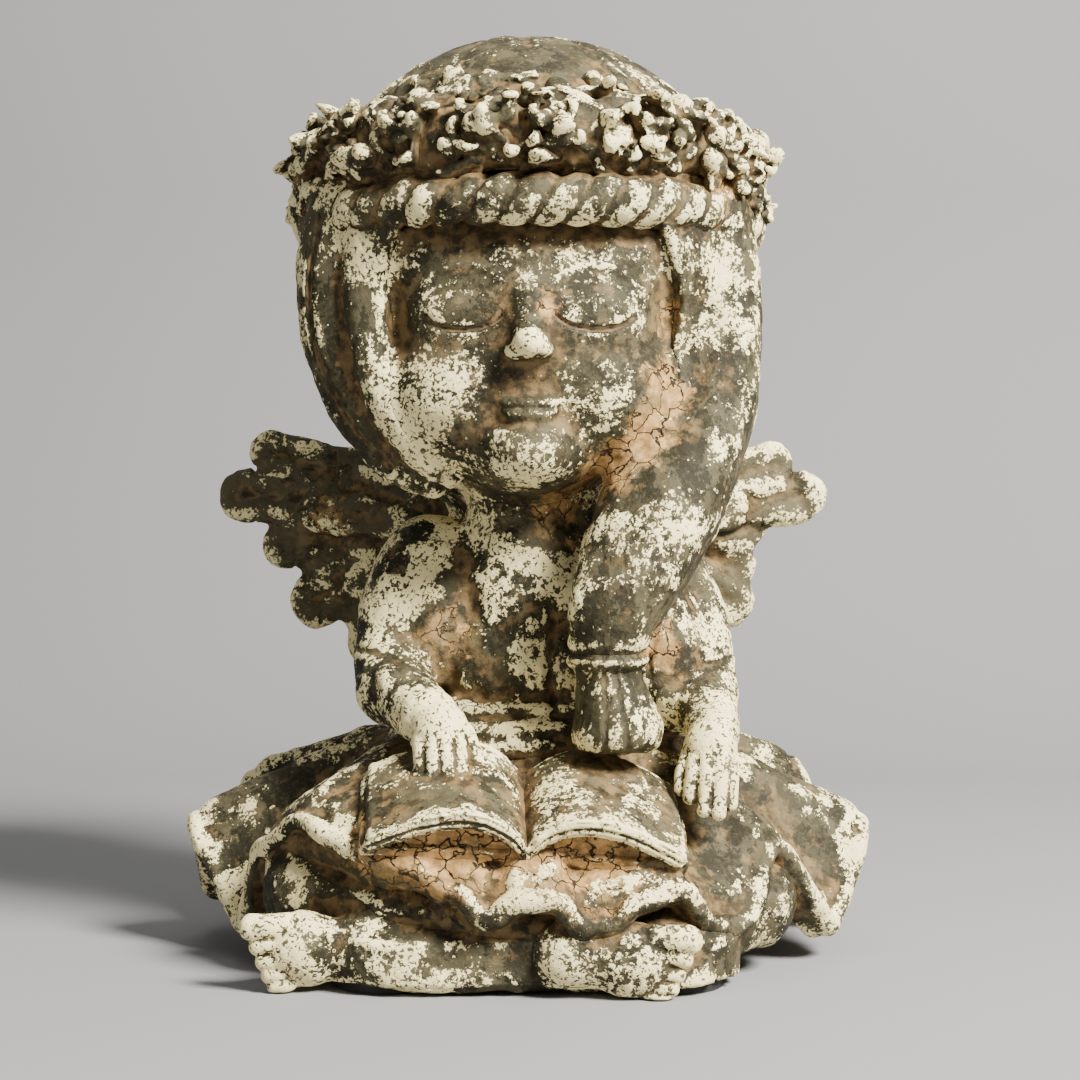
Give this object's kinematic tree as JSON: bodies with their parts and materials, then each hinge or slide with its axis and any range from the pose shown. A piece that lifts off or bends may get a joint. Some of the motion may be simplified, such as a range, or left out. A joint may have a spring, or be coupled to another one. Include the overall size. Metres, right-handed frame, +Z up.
{
  "type": "angel figurine",
  "caption": "Seated child angel in a flower wreath and ruffled skirt, reading an open book; cast resin ornament with a weathered stone look, for a shelf, table or garden.",
  "frame": {"origin": "middle of the footprint, at the height of the table", "axes": "+Z is up, the angel faces -Y, its left side is at +X"},
  "size_m": [0.1419, 0.1144, 0.1876],
  "materials": {
    "worn_resin": "matt filled casting resin, dark olive grey under chipped chalky off-white paint, brown in the hollows",
    "painted_skin": "matt filled casting resin with most of its chalky off-white paint left",
    "hair_resin": "matt filled casting resin, grey, with a dense chipped off-white speckle",
    "book_resin": "matt filled casting resin, orange-brown crackled clay wash under off-white page edges",
    "wreath_resin": "matt filled casting resin, brown-grey with off-white petal rims",
    "wing_resin": "matt filled casting resin, dark grey with off-white worn feather edges",
    "skirt_resin": "matt filled casting resin, grey with brown valleys and off-white ruffle rims",
    "bare_resin": "unpainted cast resin",
    "rubber": "matt black rubber",
    "steel": "drawn steel rod"
  },
  "bodies": {
    "root": {"foot_pads": "rubber", "base_plate": "bare_resin", "pour_plug": "rubber", "base_mound": "skirt_resin", "skirt": "skirt_resin", "torso": "worn_resin", "book_cover": "book_resin", "left_pages": "book_resin", "right_pages": "book_resin", "left_leg": "worn_resin", "right_leg": "worn_resin", "left_foot": "painted_skin", "right_foot": "painted_skin", "left_arm": "worn_resin", "right_arm": "worn_resin", "left_hand": "painted_skin", "right_hand": "painted_skin", "neck": "worn_resin", "head": "worn_resin", "hair_cap": "hair_resin", "side_lock": "hair_resin", "ponytail": "hair_resin", "hair_tie": "hair_resin", "ponytail_end": "hair_resin", "headband": "wreath_resin", "wreath_ring": "wreath_resin", "wreath_roses": "wreath_resin", "wreath_buds": "wreath_resin", "left_wing": "wing_resin", "right_wing": "wing_resin", "wing_pins": "steel", "neck_dowel": "steel"}
  },
  "joints": []
}
